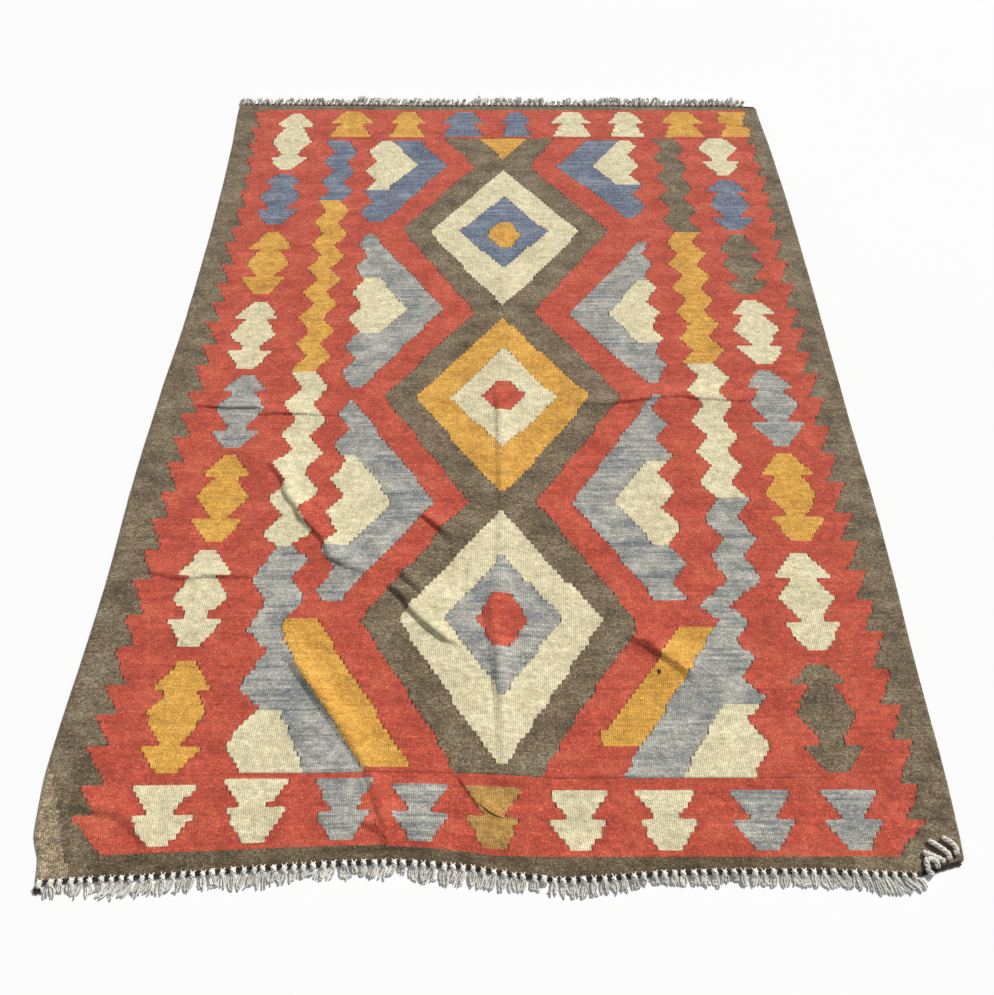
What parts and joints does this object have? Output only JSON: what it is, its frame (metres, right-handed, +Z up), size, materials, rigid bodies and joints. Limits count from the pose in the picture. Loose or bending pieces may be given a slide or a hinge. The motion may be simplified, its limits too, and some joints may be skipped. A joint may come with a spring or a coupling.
{
  "type": "kilim rug",
  "caption": "Flat-woven wool rug with a geometric diamond pattern and a knotted fringe at each end, laid out flat on a floor.",
  "frame": {"origin": "on the floor, under the middle of the rug's overall length and width", "axes": "+Z up, +X across the rug, +Y along the rug from the near end to the far end"},
  "size_m": [1.5, 2.2, 0.009],
  "materials": {
    "woven_wool": "matte hand-spun wool weave",
    "fringe_wool": "matte undyed wool cords"
  },
  "bodies": {
    "root": {"kilim_cloth": "woven_wool", "near_fringe": "fringe_wool", "far_fringe": "fringe_wool"}
  },
  "joints": []
}
